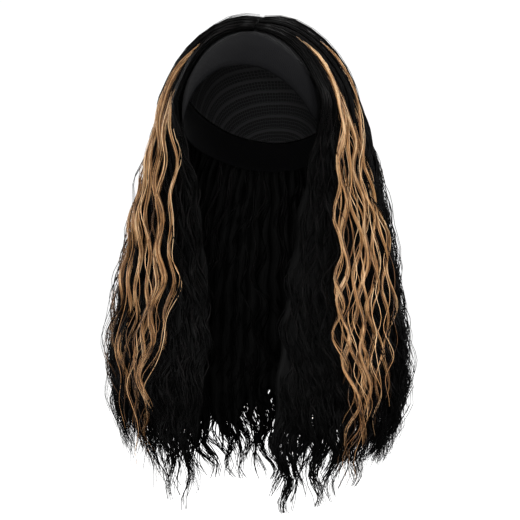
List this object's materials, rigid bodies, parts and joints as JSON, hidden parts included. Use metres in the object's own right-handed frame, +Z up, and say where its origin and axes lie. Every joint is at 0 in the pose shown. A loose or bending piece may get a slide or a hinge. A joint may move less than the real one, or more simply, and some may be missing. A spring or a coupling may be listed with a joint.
{
  "type": "half wig",
  "caption": "Half wig with a wide stretch headband, a soft hollow cap and long waved dark hair, parted over the crown, with paler highlight locks at both sides.",
  "frame": {"origin": "top of the cap's inside, where it rests on the crown of the wearer's head", "axes": "+Z up, the face looks along -Y, and the wearer's left is +X"},
  "size_m": [0.3319, 0.2378, 0.4996],
  "materials": {
    "band_jersey": "matte brushed jersey",
    "cap_net": "matte elastic net",
    "black_hair": "satin synthetic hair fibre",
    "honey_hair": "satin synthetic hair fibre"
  },
  "bodies": {
    "root": {"headband": "band_jersey", "cap": "cap_net", "hair_left": "black_hair", "hair_right": "black_hair", "hair_back": "black_hair", "highlight_left_1": "honey_hair", "highlight_left_2": "honey_hair", "highlight_right_1": "honey_hair", "highlight_right_2": "honey_hair"}
  },
  "joints": []
}
